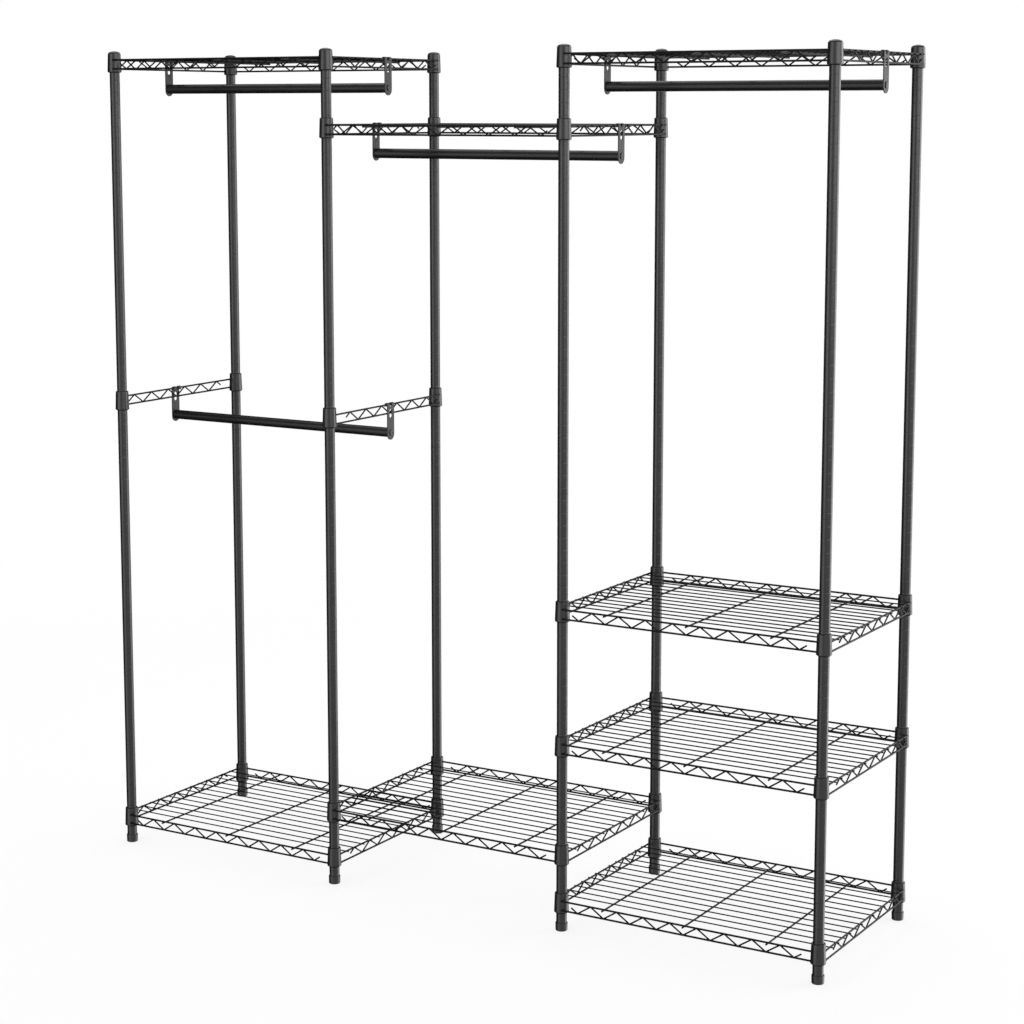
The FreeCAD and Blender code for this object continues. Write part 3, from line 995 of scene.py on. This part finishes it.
# %% Lamps and reflection cards
AIM = (0, 0, 0.9)
DARK_LEVEL = 0.02
RIGHT_LEVEL = 4.5
FRONT_LEVEL = 2.0
TOP_LEVEL = 1.6
LEFT_CARD_TURN = math.radians(82)
RIGHT_CARD_TURN = math.radians(-48)
FRONT_CARD_TURN = math.radians(-22)
HIGH_CARD_TURN = math.radians(63)
RIGHT_STAND = (4.0, 3.6)
FRONT_STAND = (-3.0, -7.4)
RIGHT_WIDTH = 3.6
FRONT_WIDTH = 4.8
LOW_CARD_HEIGHT = 3.5


def soft_lamp(name, place, target, width, height, radiance):
    """Hangs a soft box of even brightness that looks at a target."""
    lamp = bpy.data.lights.new(name, "AREA")
    lamp.shape = "RECTANGLE"
    lamp.size = width
    lamp.size_y = height
    lamp.energy = radiance * math.pi * width * height
    holder = bpy.data.objects.new(name, lamp)
    holder.location = place
    holder.rotation_euler = (Vector(target) - Vector(place)).to_track_quat("-Z", "Y").to_euler()
    holder.visible_camera = False
    bpy.context.scene.collection.objects.link(holder)


def reflection_card(name, length, width, place, level):
    """Makes a card of even brightness that shows in reflections alone."""
    face = flat_finish(f"{name}_face", (0, 0, 0, 1))
    shader = face.node_tree.nodes["Principled BSDF"]
    shader.inputs["Emission Color"].default_value = (1, 1, 1, 1)
    shader.inputs["Emission Strength"].default_value = level
    card = stage_plane(name, length, width, place, face)
    card.visible_camera = False
    card.visible_diffuse = False
    card.visible_transmission = False
    card.visible_shadow = False


def upright(place, turn_angle):
    """Gives the place of a card that stands upright and is turned about the vertical."""
    return Matrix.Translation(place) @ Matrix.Rotation(turn_angle, 4, "Z") @ Matrix.Rotation(math.pi / 2, 4, "X")


left_place = upright((-3.1, 0.5, 0.1), LEFT_CARD_TURN)
right_place = upright((*RIGHT_STAND, -1.75), RIGHT_CARD_TURN)
front_place = upright((*FRONT_STAND, -2.25), FRONT_CARD_TURN)
high_place = upright((5.8, -1.83, 2.8), HIGH_CARD_TURN)
under_place = Matrix.Translation((0, 0, -2.0))
reflection_card("left_dark_card", 7.5, 8.2, left_place, DARK_LEVEL)
reflection_card("right_light_card", RIGHT_WIDTH, LOW_CARD_HEIGHT, right_place, RIGHT_LEVEL)
reflection_card("front_light_card", FRONT_WIDTH, LOW_CARD_HEIGHT, front_place, FRONT_LEVEL)
reflection_card("high_light_card", 6.0, 3.0, high_place, RIGHT_LEVEL)
reflection_card("under_dark_card", 6.0, 6.0, under_place, DARK_LEVEL)
soft_lamp("right_soft_box", (*RIGHT_STAND, 1.6), AIM, RIGHT_WIDTH, 3.2, RIGHT_LEVEL)
soft_lamp("top_soft_box", (-1.2, 0.8, 4.2), AIM, 3.0, 2.0, TOP_LEVEL)
soft_lamp("front_soft_box", (*FRONT_STAND, 1.8), AIM, FRONT_WIDTH, 4.6, FRONT_LEVEL)
print("lamps", [lamp.name for lamp in bpy.data.lights])

# %% [markdown]
# The camera stands in front and to the right, a little below the tops of the posts, and looks slightly down. Upright
# lines lean towards each other when a camera is tilted. A lens shift moves the picture without a tilt, so a small one
# takes up part of it and the posts stay almost upright.

# %% Camera
CAMERA_PLACE = (2.5392, -4.1761, 1.6711)
CAMERA_TURN = math.radians(30.876)
CAMERA_TILT = math.radians(7.890)
CAMERA_LENS = 81.096
CAMERA_SHIFT = -0.08
camera = bpy.data.cameras.new("photo_camera")
camera.lens = CAMERA_LENS
camera.shift_y = CAMERA_SHIFT
camera_stand = bpy.data.objects.new("photo_camera", camera)
camera_stand.location = CAMERA_PLACE
camera_stand.rotation_euler = (math.pi / 2 - CAMERA_TILT, 0, CAMERA_TURN)
bpy.context.scene.collection.objects.link(camera_stand)
bpy.context.scene.camera = camera_stand
bpy.context.scene.view_settings.view_transform = "Standard"
print("camera lens", CAMERA_LENS, "shift", CAMERA_SHIFT)

# %% Measure and finish
low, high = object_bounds()
print("visual box", [round(v, 4) for v in low], [round(v, 4) for v in high])
